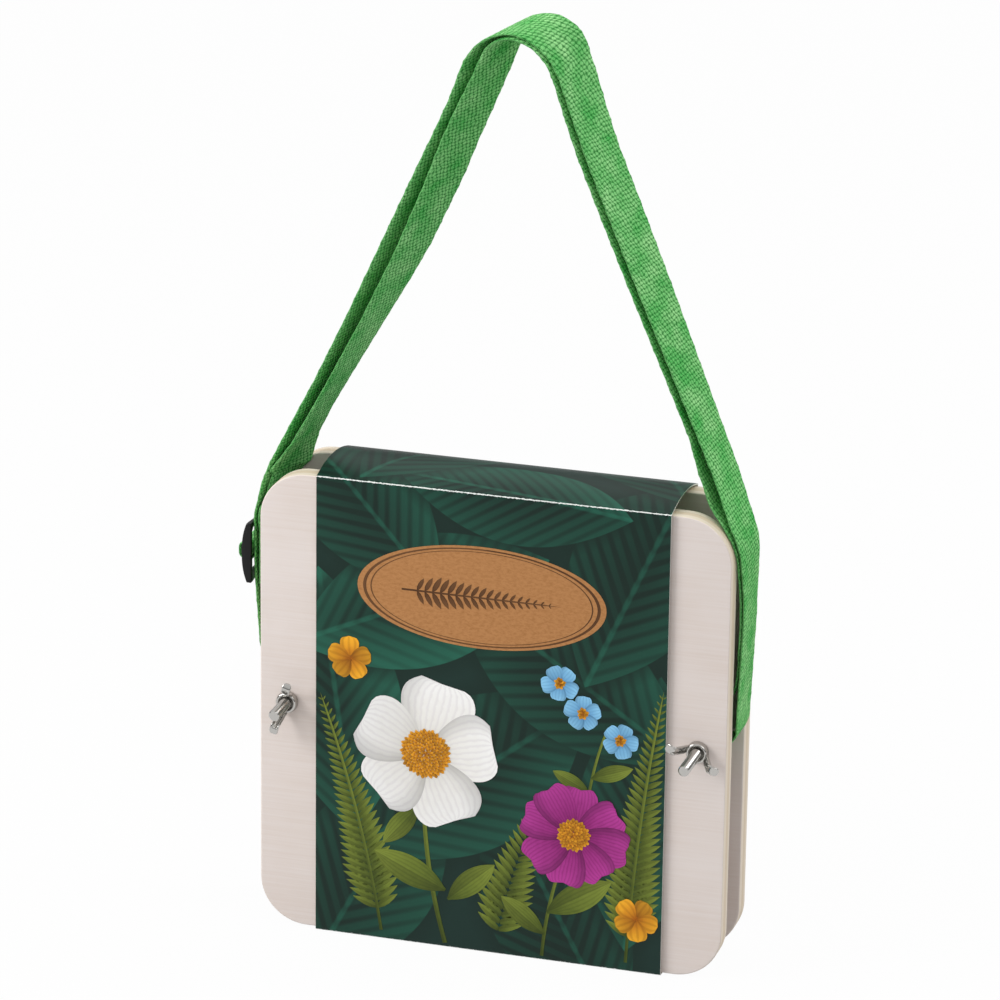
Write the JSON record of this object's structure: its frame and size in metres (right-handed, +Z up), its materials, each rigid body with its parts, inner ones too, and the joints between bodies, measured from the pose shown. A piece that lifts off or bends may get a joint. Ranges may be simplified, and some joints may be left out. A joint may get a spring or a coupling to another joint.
{
  "type": "flower press",
  "caption": "Flower press of two plywood boards with bolts and wing nuts, a stack of cards and blotting sheets, a card sleeve and a webbing carry strap.",
  "frame": {"origin": "on the surface that the press stands on, under the middle of the gap between the boards", "axes": "+Z up, the front board and wing nuts face -Y, +X to the right of someone who looks at the front"},
  "size_m": [0.2171, 0.0646, 0.3947],
  "materials": {
    "plywood": "sanded, unlacquered pale plywood",
    "plated_steel": "bright zinc plate",
    "divider_card": "plain corrugated card",
    "blotting_paper": "soft absorbent paper",
    "sleeve_card": "printed card, satin",
    "webbing": "woven cotton webbing",
    "slider_plastic": "moulded, fine texture"
  },
  "bodies": {
    "press": {"back_board": "plywood", "left_bolt": "plated_steel", "right_bolt": "plated_steel", "carry_strap": "webbing", "divider_card_1": "divider_card", "blotting_sheet_1": "blotting_paper", "blotting_sheet_2": "blotting_paper"},
    "front": {"front_board": "plywood", "divider_card_6": "divider_card"},
    "left_nut": {"left_wing_nut": "plated_steel"},
    "right_nut": {"right_wing_nut": "plated_steel"},
    "sleeve": {"printed_sleeve": "sleeve_card"},
    "slider": {"strap_slider": "slider_plastic", "strap_end_loop": "webbing"},
    "level_2": {"divider_card_2": "divider_card", "blotting_sheet_3": "blotting_paper", "blotting_sheet_4": "blotting_paper"},
    "level_3": {"divider_card_3": "divider_card", "blotting_sheet_5": "blotting_paper", "blotting_sheet_6": "blotting_paper"},
    "level_4": {"divider_card_4": "divider_card", "blotting_sheet_7": "blotting_paper", "blotting_sheet_8": "blotting_paper"},
    "level_5": {"divider_card_5": "divider_card", "blotting_sheet_9": "blotting_paper", "blotting_sheet_10": "blotting_paper"}
  },
  "joints": [
    {"name": "left_nut_turn", "type": "hinge", "parent": "front", "child": "left_nut", "pos_m": [-0.088, -0.0195, 0.1006], "axis": [0, -1, 0], "range_deg": [-721, 541]},
    {"name": "right_nut_turn", "type": "hinge", "parent": "front", "child": "right_nut", "pos_m": [0.088, -0.0195, 0.1006], "axis": [0, -1, 0], "range_deg": [-721, 541]},
    {"name": "front_board_slide", "type": "slide", "parent": "press", "child": "front", "axis": [0, -1, 0], "range_m": [-0.0016, 0.0012]},
    {"name": "sleeve_shift", "type": "slide", "parent": "press", "child": "sleeve", "axis": [1, 0, 0], "range_m": [-0.005, 0.005]},
    {"name": "slider_travel", "type": "slide", "parent": "press", "child": "slider", "axis": [0, 0, 1], "range_m": [-0.024, 0.005]},
    {"name": "level_2_slide", "type": "slide", "parent": "press", "child": "level_2", "axis": [0, -1, 0], "range_m": [-0.00033, 0.00025]},
    {"name": "level_3_slide", "type": "slide", "parent": "press", "child": "level_3", "axis": [0, -1, 0], "range_m": [-0.00065, 0.00049]},
    {"name": "level_4_slide", "type": "slide", "parent": "press", "child": "level_4", "axis": [0, -1, 0], "range_m": [-0.00097, 0.00073]},
    {"name": "level_5_slide", "type": "slide", "parent": "press", "child": "level_5", "axis": [0, -1, 0], "range_m": [-0.00129, 0.00097]}
  ],
  "couplings": [
    {"joint": "left_nut_turn", "follows": "front_board_slide", "rad_per_m": 7854},
    {"joint": "right_nut_turn", "follows": "front_board_slide", "rad_per_m": 7854},
    {"joint": "level_2_slide", "follows": "front_board_slide", "ratio": 0.2},
    {"joint": "level_3_slide", "follows": "front_board_slide", "ratio": 0.4},
    {"joint": "level_4_slide", "follows": "front_board_slide", "ratio": 0.6},
    {"joint": "level_5_slide", "follows": "front_board_slide", "ratio": 0.8}
  ]
}
